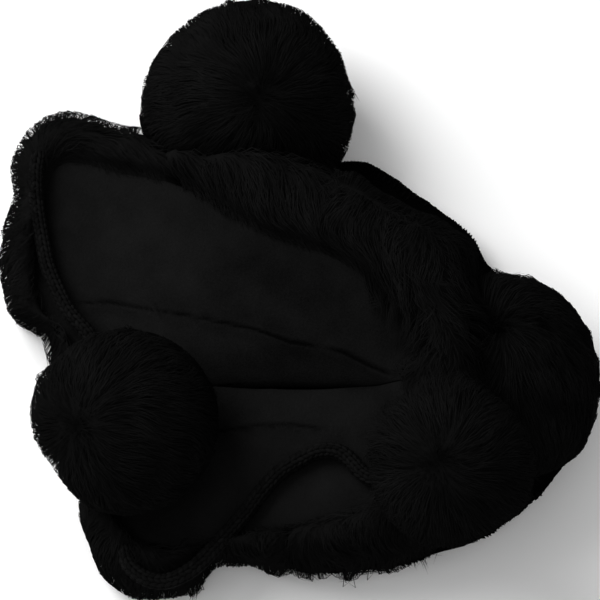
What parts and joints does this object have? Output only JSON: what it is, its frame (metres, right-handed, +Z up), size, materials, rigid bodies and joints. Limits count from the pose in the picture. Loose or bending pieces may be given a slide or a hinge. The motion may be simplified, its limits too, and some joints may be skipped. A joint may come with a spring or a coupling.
{
  "type": "fleece-lined earflap beanie",
  "caption": "Knitted earflap beanie laid on its crown, with fleece lining, deep fur trim, ear pompoms and braided ties that end in pompoms",
  "frame": {"origin": "middle of the laid hat's footprint on the surface it lies on", "axes": "+Z up from the surface, +X from the two flaps towards the front of the brow, +Y towards the left ear pompom"},
  "size_m": [0.3528, 0.3588, 0.1593],
  "materials": {
    "knit": "matt rib knit",
    "fleece": "soft brushed fleece",
    "fur": "long pile fur with a soft sheen",
    "cord": "round knitted braid"
  },
  "bodies": {
    "root": {"knit_crown": "knit", "fleece_lining": "fleece", "brow_fur": "fur", "upper_flap_fur": "fur", "lower_flap_fur": "fur", "ear_pompom_left": "fur", "ear_pompom_right": "fur", "tie_pompom_left": "fur", "tie_pompom_right": "fur", "tie_cord_left": "cord", "tie_cord_right": "cord"}
  },
  "joints": []
}
